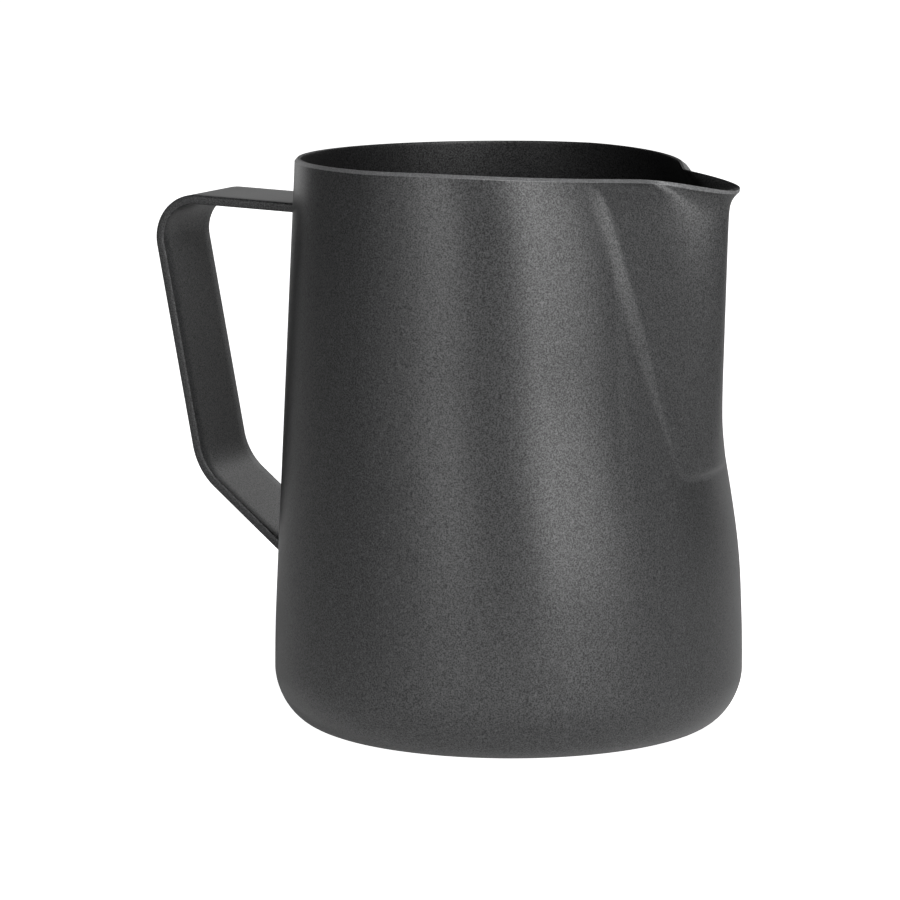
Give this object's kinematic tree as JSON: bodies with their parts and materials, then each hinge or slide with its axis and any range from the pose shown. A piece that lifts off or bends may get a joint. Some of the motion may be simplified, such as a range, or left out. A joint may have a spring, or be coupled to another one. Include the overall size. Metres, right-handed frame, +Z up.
{
  "type": "milk frothing pitcher",
  "caption": "Drawn steel milk frothing pitcher with a pressed pouring spout, an open top and a bent flat strap handle whose ends are welded to the wall.",
  "frame": {"origin": "centre of the flat underside, which is the point where the cup's axis meets the table", "axes": "+Z up along the cup's axis, +X towards the pouring spout with the handle towards -X, +Y to the left of someone looking along +X"},
  "size_m": [0.1206, 0.092, 0.1102],
  "materials": {
    "cup_coating": "satin dark grey coating with a fine sparkle",
    "strap_coating": "satin dark grey coating with a fine sparkle",
    "weld_coating": "satin dark grey coating over a weld bead"
  },
  "bodies": {
    "root": {"cup_body": "cup_coating", "strap_handle": "strap_coating", "weld_upper_top": "weld_coating", "weld_upper_under": "weld_coating", "weld_lower_top": "weld_coating", "weld_lower_under": "weld_coating"}
  },
  "joints": []
}
